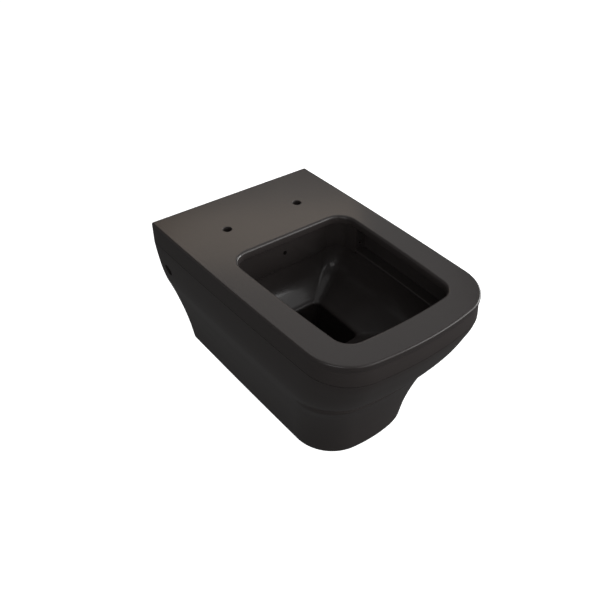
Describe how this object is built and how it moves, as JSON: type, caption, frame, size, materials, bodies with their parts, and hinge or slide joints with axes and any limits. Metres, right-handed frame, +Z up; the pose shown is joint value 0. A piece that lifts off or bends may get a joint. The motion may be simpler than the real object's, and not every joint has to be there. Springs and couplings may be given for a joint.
{
  "type": "wall hung toilet",
  "caption": "Rimless wall hung toilet pan with a squared, fully skirted body, open side jets and ledges, washdown sump and trap, and hidden side fixings.",
  "frame": {"origin": "midway between the two wall bolts, on the wall plane", "axes": "+Z up, -Y out of the wall towards the user, +X to the right as seen from the front"},
  "size_m": [0.35, 0.53, 0.31],
  "materials": {
    "glaze": "dark warm grey semi-gloss glaze over vitreous china",
    "zinc_steel": "zinc plated steel",
    "screw_steel": "stainless steel",
    "black_nylon": "moulded black nylon",
    "rubber": "moulded black rubber"
  },
  "bodies": {
    "pan": {"rim_deck": "glaze", "outer_shell": "glaze", "flush_box": "glaze", "water_guide": "glaze", "bowl": "glaze", "sump_well": "glaze", "trap_upleg": "glaze", "trap_weir": "glaze", "outlet_spigot": "glaze", "inlet_horn": "glaze", "rear_web": "glaze", "left_fixing_boss": "glaze", "right_fixing_boss": "glaze", "left_wall_bracket": "zinc_steel", "right_wall_bracket": "zinc_steel", "bracket_washers": "zinc_steel", "bracket_nuts": "zinc_steel", "captive_nuts": "zinc_steel", "inlet_seal": "rubber"},
    "left_bush": {"left_clamp_bush": "black_nylon"},
    "right_bush": {"right_clamp_bush": "black_nylon"},
    "left_screw": {"left_clamp_screw": "screw_steel"},
    "right_screw": {"right_clamp_screw": "screw_steel"}
  },
  "joints": [
    {"name": "left_bush_slide", "type": "slide", "parent": "pan", "child": "left_bush", "axis": [-1, 0, 0], "range_m": [0, 0.006]},
    {"name": "left_screw_turn", "type": "hinge", "parent": "left_bush", "child": "left_screw", "pos_m": [-0.15, -0.033, 0], "axis": [-1, 0, 0], "range_deg": [0, 1728]},
    {"name": "right_bush_slide", "type": "slide", "parent": "pan", "child": "right_bush", "axis": [1, 0, 0], "range_m": [0, 0.006]},
    {"name": "right_screw_turn", "type": "hinge", "parent": "right_bush", "child": "right_screw", "pos_m": [0.15, -0.033, 0], "axis": [1, 0, 0], "range_deg": [0, 1728]}
  ],
  "couplings": [
    {"joint": "left_screw_turn", "follows": "left_bush_slide", "rad_per_m": 5026.5},
    {"joint": "right_screw_turn", "follows": "right_bush_slide", "rad_per_m": 5026.5}
  ]
}
